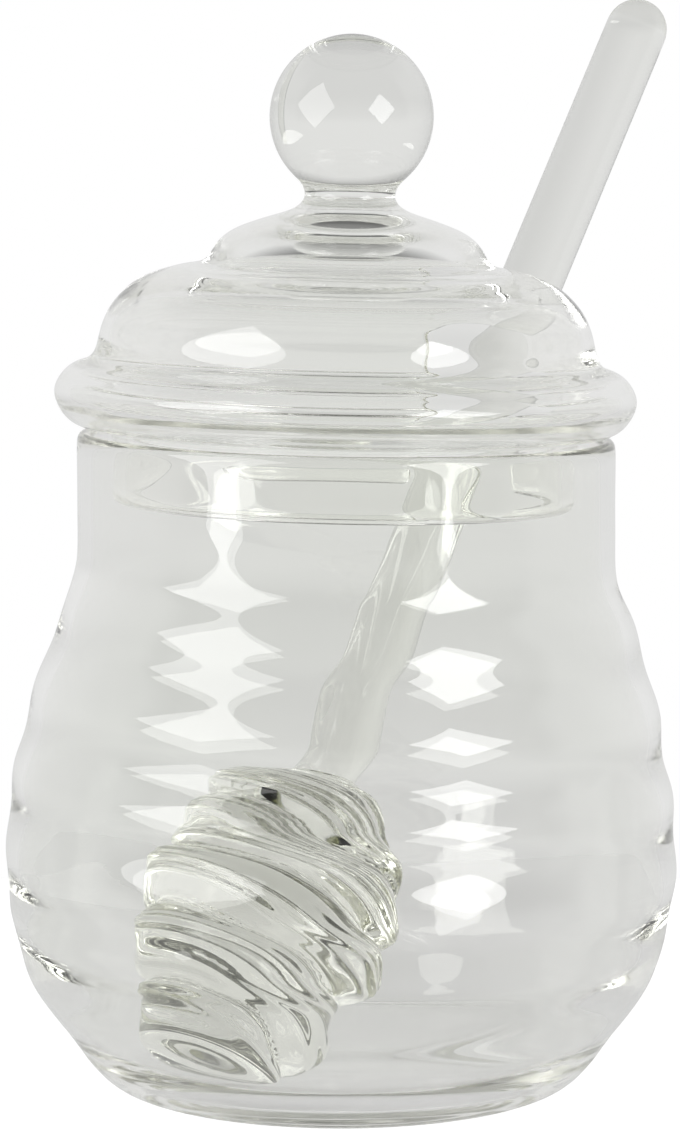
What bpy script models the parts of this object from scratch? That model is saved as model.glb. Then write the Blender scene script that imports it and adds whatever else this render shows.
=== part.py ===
"""A clear glass honey jar with ribbed, beehive-like sides, its knobbed lid with a
notch for a handle, and a solid glass dipper that leans in the jar. Metres, +Z up,
origin at the middle of the jar's flat base, front towards -Y."""

import math

import bmesh
import bpy
from mathutils import Matrix, Vector

MM = 0.001
TURN_STEPS = 40
DIPPER_STEPS = 32

# Jar: heights are above the base, radii are to the outside
JAR_HEIGHT = 87.2 * MM
JAR_RADIUS = 45.2 * MM
NECK_RADIUS = 35.7 * MM
FOOT_RADIUS = 27.5 * MM
PINCH_RADIUS = 36.6 * MM
WALL = 2.0 * MM
FLOOR = 3.2 * MM
RIB_DEPTH = 0.45 * MM

# Lid
SEAT_GAP = 0.4 * MM
BEAD_RADIUS = 38.7 * MM
BEAD_HEIGHT = 8.4 * MM
COLLAR_RADIUS = 30.7 * MM
COLLAR_DROP = 9.7 * MM
LID_WALL = 1.8 * MM
DOME_RADIUS = 33.6 * MM
STEP_RADIUS = 18.7 * MM
STEP_HEIGHT = 109.8 * MM
KNOB_RADIUS = 10.85 * MM
KNOB_HEIGHT = 129.0 * MM
KNOB_NECK_RADIUS = 5.6 * MM

# Notch in the lid for the handle, measured anticlockwise from +X
NOTCH_WIDTH = 15.0 * MM
NOTCH_TOP = 105.2 * MM
NOTCH_ANGLE = math.radians(51)

# Dipper: its axis runs from the foot up to the middle of the round tip
ROD_RADIUS = 4.4 * MM
DIPPER_FOOT = Vector((-16.9, -25.5, 9.1)) * MM
DIPPER_TIP = Vector((42.3, 53.5, 141.0)) * MM
HEAD_LENGTH = 45.0 * MM
HEAD_RADIUS = 17.0 * MM
THREAD_PITCH = 8.0 * MM
THREAD_DEPTH = 2.1 * MM


def clear_scene():
    for obj in list(bpy.data.objects):
        bpy.data.objects.remove(obj, do_unlink=True)


def collection_named(name):
    made = bpy.data.collections.new(name)
    bpy.context.scene.collection.children.link(made)
    return made


def glass(name, colour, roughness):
    made = bpy.data.materials.new(name)
    made.use_nodes = True
    shader = made.node_tree.nodes["Principled BSDF"]
    shader.inputs["Base Color"].default_value = (*colour, 1.0)
    shader.inputs["Roughness"].default_value = roughness
    shader.inputs["Metallic"].default_value = 0.0
    shader.inputs["IOR"].default_value = 1.47
    shader.inputs["Transmission Weight"].default_value = 1.0
    return made


def arc(centre, radius, start, end, count):
    """Points (r, z) on a circle, angles in degrees from +r towards +z."""
    points = []
    for i in range(count + 1):
        angle = math.radians(start + (end - start) * i / count)
        points.append((centre[0] + radius * math.cos(angle), centre[1] + radius * math.sin(angle)))
    return points


def smooth_line(knots, spacing):
    """A Catmull-Rom curve through the knots, with points about a spacing apart."""
    ends = [2 * Vector(knots[0]) - Vector(knots[1])]
    ends += [Vector(knot) for knot in knots]
    ends.append(2 * ends[-1] - ends[-2])
    points = []
    for a, b, c, d in zip(ends, ends[1:], ends[2:], ends[3:]):
        count = max(1, round((c - b).length / spacing))
        for i in range(count):
            t = i / count
            point = 0.5 * (2 * b + (c - a) * t + (2 * a - 5 * b + 4 * c - d) * t**2)
            point += 0.5 * (3 * b - a - 3 * c + d) * t**3
            points.append((point.x, point.y))
    points.append((ends[-2].x, ends[-2].y))
    return points


def turned(name, profile, steps):
    """A body of revolution about Z from an (r, z) profile that ends on the axis."""
    mesh = bpy.data.meshes.new(name)
    edges = [(i, i + 1) for i in range(len(profile) - 1)]
    mesh.from_pydata([(r, 0.0, z) for r, z in profile], edges, [])
    obj = bpy.data.objects.new(name, mesh)
    screw = obj.modifiers.new("Turn", "SCREW")
    screw.steps = steps
    screw.render_steps = steps
    screw.use_merge_vertices = True
    screw.merge_threshold = 0.00001
    return obj


def jar_outside():
    """The outside from the rim down to the edge of the flat base."""
    rim = arc((NECK_RADIUS - 1.0 * MM, JAR_HEIGHT - 1.0 * MM), 1.0 * MM, 90, 0, 3)
    ribs = [
        (NECK_RADIUS, 76.0 * MM),
        (36.4 * MM, 67.6 * MM),
        (37.6 * MM, 64.0 * MM),
        (39.2 * MM, 60.0 * MM),
        (40.4 * MM - RIB_DEPTH, 56.4 * MM),
        (41.2 * MM, 53.0 * MM),
        (42.2 * MM + RIB_DEPTH, 48.8 * MM),
        (43.5 * MM - RIB_DEPTH, 45.0 * MM),
        (43.9 * MM, 41.0 * MM),
        (44.5 * MM + RIB_DEPTH, 36.2 * MM),
        (45.0 * MM - RIB_DEPTH, 32.6 * MM),
        (JAR_RADIUS, 27.6 * MM),
        (44.3 * MM, 23.6 * MM),
        (43.1 * MM - RIB_DEPTH, 19.2 * MM),
        (42.2 * MM, 15.2 * MM),
        (40.0 * MM, 11.8 * MM),
        (PINCH_RADIUS, 7.7 * MM),
        (34.5 * MM, 4.5 * MM),
        (32.3 * MM, 2.1 * MM),
        (30.0 * MM, 0.6 * MM),
        (FOOT_RADIUS, 0.0),
    ]
    return rim[:-1] + smooth_line([rim[-1]] + ribs, 3.4 * MM)


def jar_profile():
    """Outside down to the base, then the inside from its middle up to the rim."""
    inner_rim = arc((NECK_RADIUS - 1.0 * MM, JAR_HEIGHT - 1.0 * MM), 1.0 * MM, 180, 90, 3)
    inside = [
        (20.0 * MM, FLOOR),
        (28.0 * MM, FLOOR + 0.5 * MM),
        (32.4 * MM, FLOOR + 3.0 * MM),
        (35.6 * MM, FLOOR + 7.0 * MM),
        (39.4 * MM, 14.6 * MM),
        (40.6 * MM, 19.2 * MM),
        (JAR_RADIUS - WALL, 27.6 * MM),
        (42.6 * MM, 36.2 * MM),
        (41.3 * MM, 45.0 * MM),
        (38.2 * MM, 56.4 * MM),
        (34.9 * MM, 66.0 * MM),
        (NECK_RADIUS - WALL, 74.0 * MM),
        inner_rim[0],
    ]
    return jar_outside() + [(0.0, 0.0), (0.0, FLOOR)] + smooth_line(inside, 4.2 * MM) + inner_rim[1:]


def lid_outside():
    """The outside from the top of the ball knob down to the bottom of the collar."""
    seat = JAR_HEIGHT + SEAT_GAP
    bead_middle = seat + BEAD_HEIGHT / 2 + 0.6 * MM
    knob = arc((0.0, KNOB_HEIGHT), KNOB_RADIUS, 90, -55, 12)
    foot = [
        (KNOB_NECK_RADIUS, 118.6 * MM),
        (6.9 * MM, 117.0 * MM),
        (11.8 * MM, 115.4 * MM),
        (15.6 * MM, 113.9 * MM),
        (17.6 * MM, 112.1 * MM),
        (STEP_RADIUS, STEP_HEIGHT),
    ]
    dome = [
        (STEP_RADIUS, STEP_HEIGHT),
        (23.0 * MM, 109.0 * MM),
        (27.6 * MM, 107.3 * MM),
        (30.8 * MM, 104.4 * MM),
        (32.4 * MM, 101.3 * MM),
        (DOME_RADIUS, bead_middle + BEAD_HEIGHT / 2),
    ]
    bead = [
        (36.6 * MM, bead_middle + 3.4 * MM),
        (BEAD_RADIUS, bead_middle),
        (36.9 * MM, bead_middle - 3.6 * MM),
        (34.4 * MM, seat),
        (32.0 * MM, seat),
    ]
    collar = [
        (COLLAR_RADIUS, seat - 1.6 * MM),
        (COLLAR_RADIUS, seat - COLLAR_DROP + 0.9 * MM),
        (COLLAR_RADIUS - LID_WALL / 2, seat - COLLAR_DROP),
    ]
    line = knob + smooth_line(foot, 2.4 * MM)[:-1] + smooth_line(dome, 2.6 * MM)[:-1]
    return line + smooth_line([dome[-1]] + bead, 2.2 * MM) + collar


def lid_profile():
    """Outside down to the collar, then the hollow inside up to the dome's top."""
    seat = JAR_HEIGHT + SEAT_GAP
    bead_middle = seat + BEAD_HEIGHT / 2 + 0.6 * MM
    inner = COLLAR_RADIUS - LID_WALL
    hollow = [
        (inner, seat - COLLAR_DROP + 0.9 * MM),
        (inner, seat + 0.8 * MM),
        (30.4 * MM, seat + 2.0 * MM),
        (34.6 * MM, bead_middle - 2.3 * MM),
        (BEAD_RADIUS - LID_WALL, bead_middle),
        (34.4 * MM, bead_middle + 2.5 * MM),
        (31.7 * MM, 98.6 * MM),
        (30.0 * MM, 102.6 * MM),
        (26.4 * MM, 105.4 * MM),
        (21.0 * MM, 107.2 * MM),
        (16.9 * MM, 108.6 * MM),
        (15.2 * MM, 111.2 * MM),
        (10.0 * MM, 112.9 * MM),
        (0.0, 113.4 * MM),
    ]
    return lid_outside() + hollow


def notch_cutter(collection):
    """An upright slot with a round top, pushed out through one side of the lid."""
    half = NOTCH_WIDTH / 2
    bottom = JAR_HEIGHT - COLLAR_DROP - 8.0 * MM
    outline = [(-half, bottom)] + arc((0.0, NOTCH_TOP - half), half, 180, 0, 14) + [(half, bottom)]
    near, far = 20.0 * MM, 48.0 * MM
    shape = bmesh.new()
    face = shape.faces.new([shape.verts.new((near, y, z)) for y, z in outline])
    pushed = bmesh.ops.extrude_face_region(shape, geom=[face])
    moved = [item for item in pushed["geom"] if isinstance(item, bmesh.types.BMVert)]
    bmesh.ops.translate(shape, verts=moved, vec=(far - near, 0.0, 0.0))
    bmesh.ops.recalc_face_normals(shape, faces=shape.faces)
    bmesh.ops.rotate(shape, verts=shape.verts, matrix=Matrix.Rotation(NOTCH_ANGLE, 3, "Z"))
    mesh = bpy.data.meshes.new("notch_cutter")
    shape.to_mesh(mesh)
    shape.free()
    cutter = bpy.data.objects.new("notch_cutter", mesh)
    cutter.hide_render = True
    cutter.display_type = "WIRE"
    collection.objects.link(cutter)
    return cutter


def head_radius(along):
    """The barrel-shaped outline of the dipper's head, from its foot (0) to its top (1)."""
    knots = ((0.0, 0.55), (0.10, 0.70), (0.28, 0.87), (0.50, 1.0), (0.72, 0.95), (0.90, 0.76), (1.0, 0.62))
    for (a, low), (b, high) in zip(knots, knots[1:]):
        if along <= b:
            blend = (along - a) / (b - a)
            return HEAD_RADIUS * (low + (high - low) * blend)
    return HEAD_RADIUS * knots[-1][1]


def dipper_profile():
    """Rod from its round tip down, then the head's outline, foot at zero height."""
    reach = (DIPPER_TIP - DIPPER_FOOT).length
    tip = arc((0.0, reach), ROD_RADIUS, 90, 0, 5)
    shoulder = [(ROD_RADIUS, HEAD_LENGTH + 4.0 * MM), (ROD_RADIUS + 0.7 * MM, HEAD_LENGTH + 0.9 * MM)]
    rows = round(HEAD_LENGTH / THREAD_PITCH * 7)
    head = [(head_radius(1 - i / rows), HEAD_LENGTH * (1 - i / rows)) for i in range(rows + 1)]
    return tip + shoulder + head + [(0.0, -0.9 * MM)]


def thread_head(mesh):
    """Sinks a left-handed rounded thread into the head, fading out at its two ends."""
    for vertex in mesh.vertices:
        x, y, z = vertex.co
        radius = math.hypot(x, y)
        if z < 0 or z > HEAD_LENGTH + 0.1 * MM or radius < ROD_RADIUS + 1.5 * MM:
            continue
        turn = (z / THREAD_PITCH + math.atan2(y, x) / (2 * math.pi)) % 1.0
        ridge = math.sqrt(max(0.0, 1 - (2 * turn - 1) ** 2))
        sunk = radius - THREAD_DEPTH * (1 - ridge)
        vertex.co.x *= sunk / radius
        vertex.co.y *= sunk / radius


def build_jar(collection, material):
    jar = turned("jar", jar_profile(), TURN_STEPS)
    jar.data.materials.append(material)
    collection.objects.link(jar)
    return jar


def build_lid(collection, cutters, material):
    lid = turned("lid", lid_profile(), TURN_STEPS)
    lid.data.materials.append(material)
    collection.objects.link(lid)
    cut = lid.modifiers.new("Notch", "BOOLEAN")
    cut.operation = "DIFFERENCE"
    cut.solver = "EXACT"
    cut.object = notch_cutter(cutters)
    return lid


def build_dipper(collection, material):
    blank = turned("dipper_blank", dipper_profile(), DIPPER_STEPS)
    collection.objects.link(blank)
    graph = bpy.context.evaluated_depsgraph_get()
    mesh = bpy.data.meshes.new_from_object(blank.evaluated_get(graph))
    bpy.data.objects.remove(blank, do_unlink=True)
    mesh.name = "dipper"
    thread_head(mesh)
    mesh.materials.append(material)
    dipper = bpy.data.objects.new("dipper", mesh)
    dipper.location = DIPPER_FOOT
    dipper.rotation_mode = "QUATERNION"
    dipper.rotation_quaternion = (DIPPER_TIP - DIPPER_FOOT).to_track_quat("Z", "Y")
    collection.objects.link(dipper)
    return dipper


def shade(obj):
    for polygon in obj.data.polygons:
        polygon.use_smooth = True


def main():
    clear_scene()
    parts = collection_named("honey_jar")
    cutters = collection_named("cutters")
    clear = glass("clear_glass", (0.96, 0.97, 0.96), 0.02)
    solid = glass("solid_glass", (0.94, 0.96, 0.94), 0.02)
    for obj in (build_jar(parts, clear), build_lid(parts, cutters, clear), build_dipper(parts, solid)):
        shade(obj)


main()
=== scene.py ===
import math

import bmesh
import bpy
from mathutils import Matrix, Quaternion, Vector


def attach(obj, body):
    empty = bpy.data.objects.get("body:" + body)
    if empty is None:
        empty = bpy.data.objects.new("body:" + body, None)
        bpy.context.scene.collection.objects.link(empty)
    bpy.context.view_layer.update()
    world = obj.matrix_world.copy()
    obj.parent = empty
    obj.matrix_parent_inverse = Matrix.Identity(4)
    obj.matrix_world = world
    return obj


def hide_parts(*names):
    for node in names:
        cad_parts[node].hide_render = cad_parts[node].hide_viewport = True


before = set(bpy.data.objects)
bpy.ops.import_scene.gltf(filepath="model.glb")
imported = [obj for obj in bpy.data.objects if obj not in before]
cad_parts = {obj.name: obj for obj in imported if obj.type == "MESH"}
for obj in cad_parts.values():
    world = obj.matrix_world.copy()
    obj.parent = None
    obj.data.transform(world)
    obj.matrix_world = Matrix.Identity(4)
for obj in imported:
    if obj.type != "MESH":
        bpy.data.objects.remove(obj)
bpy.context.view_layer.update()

mm = 0.001
print("frame loaded")


# Tools shared by the pieces

def deselectAll():
    if bpy.context.mode != "OBJECT":
        bpy.ops.object.mode_set(mode="OBJECT")
    bpy.ops.object.select_all(action="DESELECT")


def makeActive(piece):
    deselectAll()
    piece.select_set(True)
    bpy.context.view_layer.objects.active = piece


def arc(centre, radius, start, end, count):
    # points (radius, height) on a circle, angles in degrees from outwards towards up
    angles = [math.radians(start + (end - start) * i / count) for i in range(count + 1)]
    return [(centre[0] + radius * math.cos(a), centre[1] + radius * math.sin(a)) for a in angles]


def smoothLine(knots, count):
    # a Catmull-Rom curve through the knots, as count points an equal way apart
    stepsPerSpan = 24
    tooShort = 1e-12
    ends = [Vector(k) for k in knots]
    ends = [2 * ends[0] - ends[1]] + ends + [2 * ends[-1] - ends[-2]]
    fine = []
    for a, b, c, d in zip(ends, ends[1:], ends[2:], ends[3:]):
        for i in range(stepsPerSpan):
            t = i / stepsPerSpan
            middle = 2 * b + (c - a) * t + (2 * a - 5 * b + 4 * c - d) * t * t
            fine.append(0.5 * (middle + (3 * b - a - 3 * c + d) * t ** 3))
    fine.append(ends[-2])
    along = [0.0]
    for p, q in zip(fine, fine[1:]):
        along.append(along[-1] + (q - p).length)
    points = []
    k = 0
    for i in range(count):
        wanted = along[-1] * i / (count - 1)
        while k < len(fine) - 2 and along[k + 1] < wanted:
            k += 1
        part = (wanted - along[k]) / max(along[k + 1] - along[k], tooShort)
        points.append(tuple(fine[k].lerp(fine[k + 1], min(part, 1.0))))
    return points


def blendAt(value, low, high):
    # 0 below low, 1 above high, smooth between them
    t = min(max((value - low) / (high - low), 0.0), 1.0)
    return t * t * (3 - 2 * t)


def hump(angle, centre, width):
    # 1 at the centre, falling smoothly to 0 on both sides, all in degrees
    away = (angle - centre) / width
    return math.exp(-away * away)


def turnOutline(name, outline, segments):
    # one point extruded along the outline of (radius, height) points in mm, then spun round the Z axis
    mergeDistance = 0.002 * mm
    deselectAll()
    radius, height = outline[0]
    bpy.ops.mesh.primitive_plane_add(size=mm, location=(radius * mm, 0, height * mm))
    piece = bpy.context.object
    piece.name = name
    piece.data.name = name
    bpy.ops.object.transform_apply(location=True, rotation=True, scale=True)
    bpy.ops.object.mode_set(mode="EDIT")
    bpy.ops.mesh.select_mode(type="VERT")
    bpy.ops.mesh.select_all(action="SELECT")
    bpy.ops.mesh.merge(type="CENTER")
    for (r, z), (nextR, nextZ) in zip(outline, outline[1:]):
        step = ((nextR - r) * mm, 0, (nextZ - z) * mm)
        bpy.ops.mesh.extrude_vertices_move(TRANSFORM_OT_translate={"value": step})
    bpy.ops.mesh.select_all(action="SELECT")
    bpy.ops.mesh.spin(steps=segments, angle=2 * math.pi, center=(0, 0, 0), axis=(0, 0, 1))
    bpy.ops.mesh.select_all(action="SELECT")
    bpy.ops.mesh.remove_doubles(threshold=mergeDistance)
    bpy.ops.mesh.normals_make_consistent(inside=False)
    bpy.ops.object.mode_set(mode="OBJECT")
    return piece


def subdivide(piece, levels):
    makeActive(piece)
    smooth = piece.modifiers.new("Smooth", "SUBSURF")
    smooth.levels = levels
    smooth.render_levels = levels
    bpy.ops.object.modifier_apply(modifier=smooth.name)


def moveVertices(piece, rule):
    # rule takes a place and its outward normal, in mm, and gives the new place
    # every place is read before any is moved
    mesh = piece.data
    before = [(v.co / mm, v.normal.copy()) for v in mesh.vertices]
    after = [rule(place, normal) * mm for place, normal in before]
    mesh.vertices.foreach_set("co", [number for place in after for number in place])
    mesh.update()


def pickFaces(piece, test):
    # leaves the piece in edit mode with only the faces selected whose centre, in mm, passes the test
    makeActive(piece)
    bpy.ops.object.mode_set(mode="EDIT")
    bpy.ops.mesh.select_mode(type="FACE")
    bpy.ops.mesh.select_all(action="DESELECT")
    bpy.ops.object.mode_set(mode="OBJECT")
    for polygon in piece.data.polygons:
        polygon.select = test(polygon.center / mm)
    bpy.ops.object.mode_set(mode="EDIT")


def finishPiece(piece, material, node):
    makeActive(piece)
    bpy.ops.object.transform_apply(location=True, rotation=True, scale=True)
    bpy.ops.object.shade_smooth()
    piece.data.materials.clear()
    piece.data.materials.append(material)
    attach(piece, "root")
    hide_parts(node)
    print("made", piece.name, len(piece.data.polygons), "faces")


# Jar, in mm and degrees; azimuths run from the right towards the back

jarLook = {
    "height": 87.2,
    "neckRadius": 35.7,
    "rimRadius": 1.0,
    "rimRows": 4,
    "outerRows": 44,
    "innerRows": 38,
    "segments": 60,
    "smoothing": 2,
    "outside": [(35.7, 84.0), (35.7, 76.0), (36.1, 68.0), (38.2, 62.0), (40.4, 56.0), (42.2, 50.0),
                (43.4, 44.0), (44.3, 37.0), (44.7, 31.0), (44.4, 25.0), (43.2, 19.5), (41.9, 15.0),
                (39.3, 11.0), (36.6, 7.6), (34.5, 4.5), (32.3, 2.0), (30.2, 0.55), (27.5, 0.0)],
    "floor": [(20.0, 0.15), (10.0, 0.3), (0.0, 0.35)],
    "inside": [(0.0, 3.4), (12.0, 3.3), (20.0, 3.2), (28.0, 3.8), (32.0, 6.0), (35.2, 9.6),
               (38.2, 14.0), (41.0, 19.4), (42.4, 25.0), (42.8, 31.0), (42.4, 37.0), (41.5, 44.0),
               (40.2, 50.0), (38.2, 56.0), (36.2, 62.0), (34.1, 68.0), (33.7, 76.0), (33.7, 84.0)],
    # height and how far the wall stands out there, before the strength of each side
    "ripples": [(76, 0), (69, -0.15), (63.3, 0.6), (57.3, -0.2), (52, 0.32), (45.8, -0.68), (40.3, 0.42),
                (35.3, -0.2), (30.2, 0.3), (25, -0.3), (21, 0.05), (17, -0.15), (10.5, 0)],
    "ripplesFrom": 28,           # the floor inside this radius stays smooth
    "meanStrength": 0.62,
    "strengthSwing": 0.40,       # stronger by this at swingAzimuth and weaker by it opposite
    "swingAzimuth": -80,
    "deepStrength": 0.58,        # added round deepAzimuth, at the front left
    "deepAzimuth": -118,
    "deepWidth": 28,
    "rippleSlant": 2.0,          # the ripples run lower at the right
    "slantMiddle": 0.36,         # cosine of the azimuth where the heights above hold
    "innerShare": 0.95,          # the inner ripples are a little weaker
    "innerLag": 1.0,             # and this much lower
    "neckLean": 0.7,             # the neck sits this far to the right of the body
    "leanFrom": 38,
    "leanTo": 76,
    "rimSlant": 0.017,           # and its rim is lower at the right
    "slantFrom": 70,
    "slantTo": 86,
}


def between(steps, height):
    # the value at a height, eased from one listed (height, value) to the next, and 0 past both ends
    if height >= steps[0][0] or height <= steps[-1][0]:
        return 0.0
    for (high, above), (low, below) in zip(steps, steps[1:]):
        if height >= low:
            return below + (above - below) * (1 - math.cos(math.pi * (height - low) / (high - low))) / 2


def waveWall(jar, look):
    def rule(place, normal):
        x, y, z = place
        radius = math.hypot(x, y)
        azimuth = math.atan2(y, x)
        if radius > look["ripplesFrom"]:
            swing = look["strengthSwing"] * math.cos(azimuth - math.radians(look["swingAzimuth"]))
            deep = hump(math.degrees(azimuth), look["deepAzimuth"], look["deepWidth"])
            strength = look["meanStrength"] + swing + look["deepStrength"] * deep
            level = z + look["rippleSlant"] * (math.cos(azimuth) - look["slantMiddle"])
            if normal.x * x + normal.y * y < 0:
                strength *= look["innerShare"]
                level += look["innerLag"]
            push = strength * between(look["ripples"], level)
            x += push * x / radius
            y += push * y / radius
        z -= look["rimSlant"] * x * blendAt(z, look["slantFrom"], look["slantTo"])
        x += look["neckLean"] * blendAt(z, look["leanFrom"], look["leanTo"])
        return Vector((x, y, z))
    moveVertices(jar, rule)


def buildJar(look, material):
    radius = look["rimRadius"]
    rim = arc((look["neckRadius"] - radius, look["height"] - radius), radius, 180, 0, look["rimRows"])
    inside = smoothLine(look["inside"], look["innerRows"])
    outside = smoothLine(look["outside"], look["outerRows"])
    jar = turnOutline("jarGlass", inside + rim + outside + look["floor"], look["segments"])
    subdivide(jar, look["smoothing"])
    waveWall(jar, look)
    finishPiece(jar, material, "jar")


# Lid, in mm and degrees

lidLook = {
    "segments": 60,
    "smoothing": 2,
    "knobRadius": 10.85,
    "knobHeight": 129.0,
    "knobEnd": -50,              # the ball runs from its top to this angle below its middle
    "knobRows": 17,
    "foot": [(6.3, 120.1), (5.6, 118.6), (6.9, 117.0), (11.8, 115.4), (15.6, 113.9), (17.6, 112.1),
             (18.7, 109.8)],
    "footRows": 10,
    "outer": [(20.6, 109.45), (23.0, 109.0), (27.6, 107.3), (30.8, 104.4), (32.4, 101.3), (33.6, 96.9),
              (36.6, 95.8), (38.7, 92.4), (36.9, 88.8), (34.4, 87.7), (32.0, 87.5), (30.7, 86.0),
              (30.7, 79.0)],
    "inner": [(19.0, 107.9), (21.0, 107.2), (26.7, 105.8), (30.1, 103.0), (31.2, 100.6), (31.9, 98.2),
              (34.6, 94.6), (36.9, 92.4), (34.6, 90.1), (31.6, 89.7), (29.6, 89.0), (28.9, 86.0),
              (28.9, 79.0)],
    "wallRows": 30,
    "lip": [(30.3, 78.1), (29.3, 78.1)],
    "roof": [(17.4, 108.3), (16.2, 109.4), (15.0, 111.2), (10.0, 112.9), (4.0, 113.35), (0.0, 113.4)],
    "roofRows": 8,
    "notchStart": 36,            # degrees from the right towards the back, on a column of the mesh
    "notchTops": [8, 6, 6, 6, 8],  # the highest open row of each column
    "notchCeiling": 108,         # nothing above this height is opened
    "lipMargin": 0.4,            # cut edges this far above the lip are bridged, the rest is filled
    "archFoot": 98.5,            # the arch is rounded above this height
    "archRounds": 3,
    "archPull": 0.6,             # share of the way to the middle of its neighbours, each round
    "flare": 1.4,                # the notch's lower corners stand wider by this
    "flareFull": 78,             # all of it below this height
    "flareEnd": 84,              # and none above this one
    "waveAzimuth": 135,          # a shallow wave in the collar's lower edge, at the back left
    "waveWidth": 13,
    "waveLift": 3.6,
    "waveFull": 78,              # all of it below this height and none above the seat
    "seat": 87.5,                # height of the rim that the lid sits on
    "turn": 3.0,                 # degrees about the upright axis, so that the notch takes the handle
    "lean": 1.25,                # degrees: the whole lid sits lower at the right
    "shift": 0.5,                # and a little to the right
}


def rowOf(point, line):
    # the row of a line of (radius, height) points that a place lies in, and how far off it is
    offs = [(point - (Vector(a) + Vector(b)) / 2).length for a, b in zip(line, line[1:])]
    best = min(range(len(offs)), key=lambda i: offs[i])
    return best, offs[best]


def cutNotch(lid, look, outer, inner):
    # both walls and the lip open under an arch, and the two cut edges are joined again
    step = 360 / look["segments"]
    tops = look["notchTops"]
    bridgeFrom = look["lip"][0][1] + look["lipMargin"]

    def underArch(centre):
        column = math.floor((math.degrees(math.atan2(centre.y, centre.x)) - look["notchStart"]) / step)
        if not 0 <= column < len(tops) or centre.z > look["notchCeiling"]:
            return False
        place = Vector((math.hypot(centre.x, centre.y), centre.z))
        row, off = min((rowOf(place, line) for line in (outer, inner)), key=lambda found: found[1])
        return row >= tops[column] or centre.z < look["outer"][-1][1]

    pickFaces(lid, underArch)
    bpy.ops.mesh.delete(type="FACE")
    bpy.ops.object.mode_set(mode="OBJECT")
    shapeNotch(lid, look)
    bpy.ops.object.mode_set(mode="EDIT")
    bpy.ops.mesh.select_mode(type="EDGE")
    bpy.ops.mesh.select_all(action="DESELECT")
    cage = bmesh.from_edit_mesh(lid.data)
    for edge in cage.edges:
        edge.select = edge.is_boundary and min(v.co.z for v in edge.verts) > bridgeFrom * mm
    bmesh.update_edit_mesh(lid.data)
    bpy.ops.mesh.bridge_edge_loops()
    bpy.ops.mesh.select_all(action="SELECT")
    bpy.ops.mesh.fill_holes(sides=6)
    bpy.ops.mesh.select_all(action="SELECT")
    bpy.ops.mesh.normals_make_consistent(inside=False)
    bpy.ops.object.mode_set(mode="OBJECT")


def shapeNotch(lid, look):
    # rounds the arch and spreads the lower corners
    cage = bmesh.new()
    cage.from_mesh(lid.data)
    edge = [v for v in cage.verts if v.is_boundary]
    for turn in range(look["archRounds"]):
        moved = {}
        for v in edge:
            if v.co.z > look["archFoot"] * mm:
                near = [e.other_vert(v).co for e in v.link_edges if e.is_boundary]
                moved[v] = v.co.lerp((near[0] + near[1]) / 2, look["archPull"])
        for v, place in moved.items():
            v.co = place
    middle = math.radians(look["notchStart"] + 180 * len(look["notchTops"]) / look["segments"])
    along = Vector((-math.sin(middle), math.cos(middle), 0))
    for v in edge:
        wide = 1 - blendAt(v.co.z / mm, look["flareFull"], look["flareEnd"])
        v.co += along * math.copysign(look["flare"] * mm * wide, v.co.dot(along))
    cage.to_mesh(lid.data)
    cage.free()


def liftCollar(lid, look):
    def rule(place, normal):
        azimuth = math.degrees(math.atan2(place.y, place.x))
        lift = look["waveLift"] * hump(azimuth, look["waveAzimuth"], look["waveWidth"])
        lift *= 1 - blendAt(place.z, look["waveFull"], look["seat"])
        return place + Vector((0, 0, lift))
    moveVertices(lid, rule)


def seatLid(lid, look):
    # turned, leant and shifted about the middle of the rim, in the mesh itself
    seat = Vector((0, 0, look["seat"] * mm))
    lean = Matrix.Rotation(math.radians(look["lean"]), 4, "Y")
    turn = Matrix.Rotation(math.radians(look["turn"]), 4, "Z")
    place = Matrix.Translation(seat + Vector((look["shift"] * mm, 0, 0)))
    lid.data.transform(place @ lean @ turn @ Matrix.Translation(-seat))


def buildLid(look, material):
    knob = arc((0, look["knobHeight"]), look["knobRadius"], 90, look["knobEnd"], look["knobRows"])
    foot = smoothLine(look["foot"], look["footRows"])
    outer = smoothLine(look["outer"], look["wallRows"])
    inner = smoothLine(look["inner"], look["wallRows"])
    roof = smoothLine(look["roof"], look["roofRows"])
    outline = knob + foot + outer + look["lip"] + inner[::-1] + roof
    lid = turnOutline("lidGlass", outline, look["segments"])
    cutNotch(lid, look, outer, inner)
    subdivide(lid, look["smoothing"])
    liftCollar(lid, look)
    seatLid(lid, look)
    finishPiece(lid, material, "lid")


# Dipper, in mm; its heights run along it from the middle of its foot

dipperLook = {
    "foot": (-16.9, -25.5, 9.1),
    "tip": (42.3, 53.5, 141.0),
    "rodRadius": 4.4,
    "head": [(0.0, -0.9), (5.5, -0.75), (8.6, -0.1), (10.0, 1.6), (12.2, 4.5), (14.6, 10.0),
             (16.4, 15.0), (17.0, 20.0), (16.4, 25.5), (14.9, 31.0), (12.6, 35.4), (10.2, 37.6),
             (7.6, 38.3), (5.6, 39.2)],
    "headLength": 38.3,
    "shoulder": (4.8, 40.8),     # between the head and the rod
    "rodStart": 44,
    "rodMargin": 0.5,            # the straight rod ends this far under the round tip
    "tipStart": 5,               # degrees above the rod's side, where the round tip begins
    "headRows": 62,
    "rodRows": 26,
    "tipRows": 6,
    "segments": 52,
    "smoothing": 2,
    "pitch": 8.2,
    "depth": 3.0,
    "threadFrom": 0.3,
    "threadFull": 3,
    "threadClear": 1.5,          # nothing this close to the rod's side is threaded
    "drift": 0.09,               # turns by which the thread runs uneven along the head
    "driftLength": 5.5,
    "driftPhase": 1.2,
    "sway": 0.05,                # and round it
    "swayLength": 6,
    "streak": 0.17,              # finer furrows that run along the thread
    "furrows": 4,
    "furrowWander": 1.6,
    "wanderLength": 7,
    "furrowFade": 0.4,           # share by which the furrows come and go
    "fadeLength": 3,
}


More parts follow.
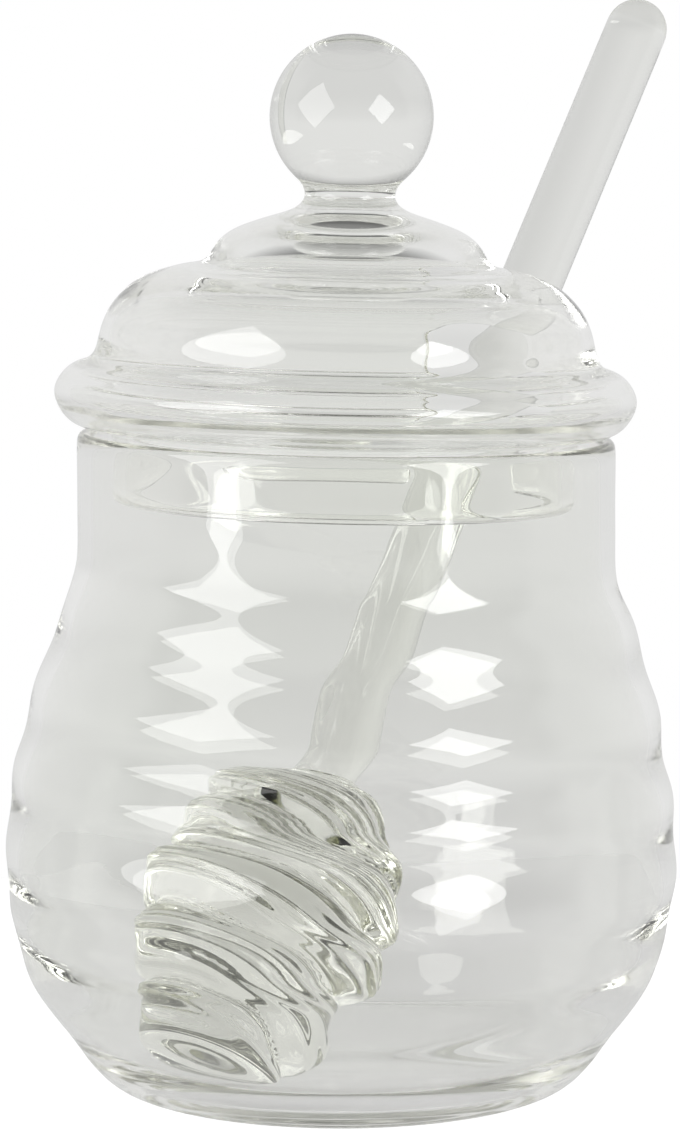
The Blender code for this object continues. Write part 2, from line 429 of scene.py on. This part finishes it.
def windHead(dipper, look):
    # sinks a rounded thread into the head, fading out at its foot
    def rule(place, normal):
        x, y, z = place
        radius = math.hypot(x, y)
        onRod = radius < look["rodRadius"] + look["threadClear"]
        if z < look["threadFrom"] or z > look["headLength"] or onRod:
            return place
        angle = math.atan2(y, x)
        drift = look["drift"] * math.sin(z / look["driftLength"] + look["driftPhase"])
        sway = look["sway"] * math.sin(2 * angle + z / look["swayLength"])
        along = z / look["pitch"] + drift + sway
        turn = (along + angle / (2 * math.pi)) % 1.0
        ridge = math.sqrt(max(0.0, 1 - (2 * turn - 1) ** 2))
        wander = look["furrowWander"] * math.sin(angle + z / look["wanderLength"])
        fade = (1 - look["furrowFade"]) + look["furrowFade"] * math.sin(z / look["fadeLength"] + 2 * angle)
        furrow = math.sin(2 * math.pi * look["furrows"] * turn + wander) * fade
        sunk = look["depth"] * (1 - ridge) + look["streak"] * furrow * ridge
        sunk *= blendAt(z, look["threadFrom"], look["threadFull"])
        return Vector((x - sunk * x / radius, y - sunk * y / radius, z))
    moveVertices(dipper, rule)


def buildDipper(look, material):
    foot = Vector(look["foot"]) * mm
    tip = Vector(look["tip"]) * mm
    thick = look["rodRadius"]
    reach = (tip - foot).length / mm
    head = smoothLine(look["head"], look["headRows"])
    rodKnots = [look["shoulder"], (thick, look["rodStart"]), (thick, reach - look["rodMargin"])]
    rod = smoothLine(rodKnots, look["rodRows"])
    end = arc((0, reach), thick, look["tipStart"], 90, look["tipRows"])
    dipper = turnOutline("dipperGlass", head + rod + end, look["segments"])
    subdivide(dipper, look["smoothing"])
    windHead(dipper, look)
    dipper.location = foot
    dipper.rotation_mode = "QUATERNION"
    dipper.rotation_quaternion = (tip - foot).to_track_quat("Z", "Y")
    finishPiece(dipper, material, "dipper")


# Glass

glassLook = {
    "wavesPerMetre": 70.0,
    "waveSquash": 2.2,           # the waves stand this much closer together upwards than sideways
    "castPerMetre": 22.0,
    "greenCast": (0.982, 0.988, 0.966, 1),
    "paleCast": (0.994, 0.994, 0.984, 1),
    "greenBelow": 0.3,           # share of the cast's noise
    "paleAbove": 0.7,
    "ior": 1.47,
    "depthColour": (0.64, 0.65, 0.5, 1.0),
    "blownWave": 0.04,           # height of the waves in mm, in the jar and the lid
    "blownDensity": 3.0,
    "solidWave": 0.03,           # and in the dipper
    "solidDensity": 8.0,
}


def handmadeSurface(look):
    # what hand-worked glass shows close by: slow waves and a faint cast that comes and goes
    group = bpy.data.node_groups.new("handmadeSurface", "ShaderNodeTree")
    nodes, links = group.nodes, group.links
    size = group.interface.new_socket("Waves per metre", in_out="INPUT", socket_type="NodeSocketFloat")
    size.default_value = look["wavesPerMetre"]
    group.interface.new_socket("Tint", in_out="OUTPUT", socket_type="NodeSocketColor")
    group.interface.new_socket("Height", in_out="OUTPUT", socket_type="NodeSocketFloat")
    given = nodes.new("NodeGroupInput")
    result = nodes.new("NodeGroupOutput")
    coords = nodes.new("ShaderNodeTexCoord")
    squash = nodes.new("ShaderNodeMapping")
    squash.inputs["Scale"].default_value = (1.0, 1.0, look["waveSquash"])
    links.new(coords.outputs["Object"], squash.inputs["Vector"])
    waves = nodes.new("ShaderNodeTexNoise")
    waves.inputs["Detail"].default_value = 0.0
    links.new(squash.outputs["Vector"], waves.inputs["Vector"])
    links.new(given.outputs["Waves per metre"], waves.inputs["Scale"])
    links.new(waves.outputs["Fac"], result.inputs["Height"])
    cast = nodes.new("ShaderNodeTexNoise")
    cast.inputs["Scale"].default_value = look["castPerMetre"]
    cast.inputs["Detail"].default_value = 0.0
    links.new(coords.outputs["Object"], cast.inputs["Vector"])
    tint = nodes.new("ShaderNodeValToRGB")
    green, pale = tint.color_ramp.elements
    green.position = look["greenBelow"]
    green.color = look["greenCast"]
    pale.position = look["paleAbove"]
    pale.color = look["paleCast"]
    links.new(cast.outputs["Fac"], tint.inputs["Fac"])
    links.new(tint.outputs["Color"], result.inputs["Tint"])
    return group


def clearGlass(name, look, surface, waveHeight, density):
    glass = bpy.data.materials.new(name)
    glass.use_nodes = True
    nodes, links = glass.node_tree.nodes, glass.node_tree.links
    shader = nodes["Principled BSDF"]
    worked = nodes.new("ShaderNodeGroup")
    worked.node_tree = surface
    links.new(worked.outputs["Tint"], shader.inputs["Base Color"])
    shader.inputs["Roughness"].default_value = 0.0
    relief = nodes.new("ShaderNodeBump")
    relief.inputs["Distance"].default_value = waveHeight * mm
    links.new(worked.outputs["Height"], relief.inputs["Height"])
    links.new(relief.outputs["Normal"], shader.inputs["Normal"])
    shader.inputs["Metallic"].default_value = 0.0
    shader.inputs["IOR"].default_value = look["ior"]
    shader.inputs["Transmission Weight"].default_value = 1.0
    depth = nodes.new("ShaderNodeVolumeAbsorption")
    depth.inputs["Color"].default_value = look["depthColour"]
    depth.inputs["Density"].default_value = density
    links.new(depth.outputs["Volume"], nodes["Material Output"].inputs["Volume"])
    print("mixed", name)
    return glass


# Studio: floor, world, lights and camera

studioLook = {
    "backdrop": 0.80,            # brightness behind the jar, beside it and in front of it
    "side": 0.67,
    "front": 0.03,
    "frontEnd": 0.41,            # where on the way from front (0) to back (1) each one is reached
    "sideAt": 0.5,
    "backdropFrom": 0.72,
    "top": 0.1,                  # the dark ceiling, mixed in as a direction points up
    "topFrom": 0.55,
    "topFull": 0.9,
    "table": 0.71,               # the table far off, mixed in as a direction points down
    "tableFrom": 0.04,
    "tableFull": -0.16,
    "floorRadius": 0.16,         # in metres
    "floorSides": 96,
    "floorDrop": 0.05,           # in mm, so that the jar's foot and the paper don't touch
    "paper": 0.35,
    "paperGlow": 0.50,           # makes the paper in the glass match the table
    "paperSeen": 1.0,            # and plain white in the picture itself
    "softboxAim": 70,            # the height in mm that both softboxes face
    # name, direction from the jar, distance and side in metres, brightness
    "softboxes": [("leftSoftbox", (-0.763, -0.573, 0.30), 1.0, 0.76, 3.6),
                  ("rightSoftbox", (0.663, -0.715, 0.224), 1.0, 0.50, 6.0)],
    "bounces": 90,               # light led round inside the walls turns black with fewer
    "diffuseBounces": 2,
    "brightestBounce": 4.0,
}

photoFrame = {
    "size": (680, 1130),
    "aimPixel": (341, 578),
    "eye": Vector((0, -577, 133)) * mm,
    "aim": Vector((0, 0, 68)) * mm,
    "focalPixels": 4368.5,
    "sensor": 36.0,
    "nearest": 0.02,
}


def grey(level):
    return (level, level, level, 1)


def addSoftbox(look, name, direction, distance, side, radiance):
    # a square light turned onto its corner, so that it shows as a diamond in the glass
    aim = Vector((0, 0, look["softboxAim"] * mm))
    direction = Vector(direction).normalized()
    light = bpy.data.lights.new(name, "AREA")
    light.shape = "SQUARE"
    light.size = side
    light.energy = radiance * math.pi * side * side
    lamp = bpy.data.objects.new(name, light)
    lamp.location = aim + direction * distance
    lamp.rotation_mode = "QUATERNION"
    lamp.rotation_quaternion = direction.to_track_quat("Z", "Y") @ Quaternion((0, 0, 1), math.radians(45))
    lamp.visible_camera = False
    bpy.context.scene.collection.objects.link(lamp)
    print("hung", name)


def mixByHeight(tree, height, under, level, start, full):
    # mixes a grey into a colour, from none where height is start to all where it is full
    # the Mix node's colours are its inputs 6 and 7 and its output 2
    amount = tree.nodes.new("ShaderNodeMapRange")
    amount.inputs["From Min"].default_value = start
    amount.inputs["From Max"].default_value = full
    tree.links.new(height, amount.inputs["Value"])
    mix = tree.nodes.new("ShaderNodeMix")
    mix.data_type = "RGBA"
    tree.links.new(amount.outputs["Result"], mix.inputs["Factor"])
    tree.links.new(under, mix.inputs[6])
    mix.inputs[7].default_value = grey(level)
    return mix.outputs[2]


def buildWorld(look):
    # the glass sees a room, dark in front and overhead, and the camera sees plain white
    world = bpy.data.worlds.new("studioWorld")
    world.use_nodes = True
    bpy.context.scene.world = world
    nodes, links = world.node_tree.nodes, world.node_tree.links
    nodes.clear()
    coords = nodes.new("ShaderNodeTexCoord")
    parts = nodes.new("ShaderNodeSeparateXYZ")
    links.new(coords.outputs["Generated"], parts.inputs[0])
    around = nodes.new("ShaderNodeValToRGB")
    stops = around.color_ramp.elements
    stops[0].position = look["frontEnd"]
    stops[0].color = grey(look["front"])
    stops[1].position = look["backdropFrom"]
    stops[1].color = grey(look["backdrop"])
    middle = stops.new(look["sideAt"])
    middle.color = grey(look["side"])
    shift = nodes.new("ShaderNodeMath")
    shift.operation = "MULTIPLY_ADD"
    shift.inputs[1].default_value = 0.5
    shift.inputs[2].default_value = 0.5
    links.new(parts.outputs["Y"], shift.inputs[0])
    links.new(shift.outputs[0], around.inputs["Fac"])
    height = parts.outputs["Z"]
    underTop = mixByHeight(world.node_tree, height, around.outputs["Color"],
                           look["top"], look["topFrom"], look["topFull"])
    overTable = mixByHeight(world.node_tree, height, underTop,
                            look["table"], look["tableFrom"], look["tableFull"])
    studio = nodes.new("ShaderNodeBackground")
    links.new(overTable, studio.inputs["Color"])
    white = nodes.new("ShaderNodeBackground")
    white.inputs["Color"].default_value = grey(1)
    path = nodes.new("ShaderNodeLightPath")
    choose = nodes.new("ShaderNodeMixShader")
    links.new(path.outputs["Is Camera Ray"], choose.inputs["Fac"])
    links.new(studio.outputs[0], choose.inputs[1])
    links.new(white.outputs[0], choose.inputs[2])
    out = nodes.new("ShaderNodeOutputWorld")
    links.new(choose.outputs[0], out.inputs["Surface"])
    print("studio lit")


def buildFloor(look):
    deselectAll()
    bpy.ops.mesh.primitive_circle_add(vertices=look["floorSides"], radius=look["floorRadius"],
                                      fill_type="NGON", location=(0, 0, -look["floorDrop"] * mm))
    floor = bpy.context.object
    floor.name = "studioFloor"
    paper = bpy.data.materials.new("palePaper")
    paper.use_nodes = True
    nodes, links = paper.node_tree.nodes, paper.node_tree.links
    shader = nodes["Principled BSDF"]
    shader.inputs["Base Color"].default_value = grey(look["paper"])
    shader.inputs["Roughness"].default_value = 1.0
    shader.inputs["Specular IOR Level"].default_value = 0.0
    shader.inputs["Emission Color"].default_value = grey(1)
    path = nodes.new("ShaderNodeLightPath")
    glow = nodes.new("ShaderNodeMapRange")
    links.new(path.outputs["Is Camera Ray"], glow.inputs["Value"])
    glow.inputs["To Min"].default_value = look["paperGlow"]
    glow.inputs["To Max"].default_value = look["paperSeen"]
    links.new(glow.outputs["Result"], shader.inputs["Emission Strength"])
    floor.data.materials.append(paper)
    print("floor laid")


def addCamera(look):
    camera = bpy.data.cameras.new("photoCamera")
    width, height = look["size"]
    camera.sensor_width = look["sensor"]
    camera.lens = look["sensor"] * look["focalPixels"] / height
    camera.shift_x = (width / 2 - look["aimPixel"][0]) / height
    camera.shift_y = (look["aimPixel"][1] - height / 2) / height
    camera.clip_start = look["nearest"]
    holder = bpy.data.objects.new("photoCamera", camera)
    holder.location = look["eye"]
    holder.rotation_mode = "QUATERNION"
    holder.rotation_quaternion = (look["aim"] - look["eye"]).to_track_quat("-Z", "Y")
    bpy.context.scene.collection.objects.link(holder)
    bpy.context.scene.camera = holder
    print("camera set")


def setLightPaths(look):
    scene = bpy.context.scene
    scene.view_settings.view_transform = "Standard"
    scene.cycles.max_bounces = look["bounces"]
    scene.cycles.transmission_bounces = look["bounces"]
    scene.cycles.glossy_bounces = look["bounces"]
    scene.cycles.diffuse_bounces = look["diffuseBounces"]
    scene.cycles.sample_clamp_indirect = look["brightestBounce"]


surface = handmadeSurface(glassLook)
blownGlass = clearGlass("blownGlass", glassLook, surface, glassLook["blownWave"], glassLook["blownDensity"])
solidGlass = clearGlass("solidGlass", glassLook, surface, glassLook["solidWave"], glassLook["solidDensity"])
buildJar(jarLook, blownGlass)
buildLid(lidLook, blownGlass)
buildDipper(dipperLook, solidGlass)
buildFloor(studioLook)
buildWorld(studioLook)
for softbox in studioLook["softboxes"]:
    addSoftbox(studioLook, *softbox)
addCamera(photoFrame)
setLightPaths(studioLook)
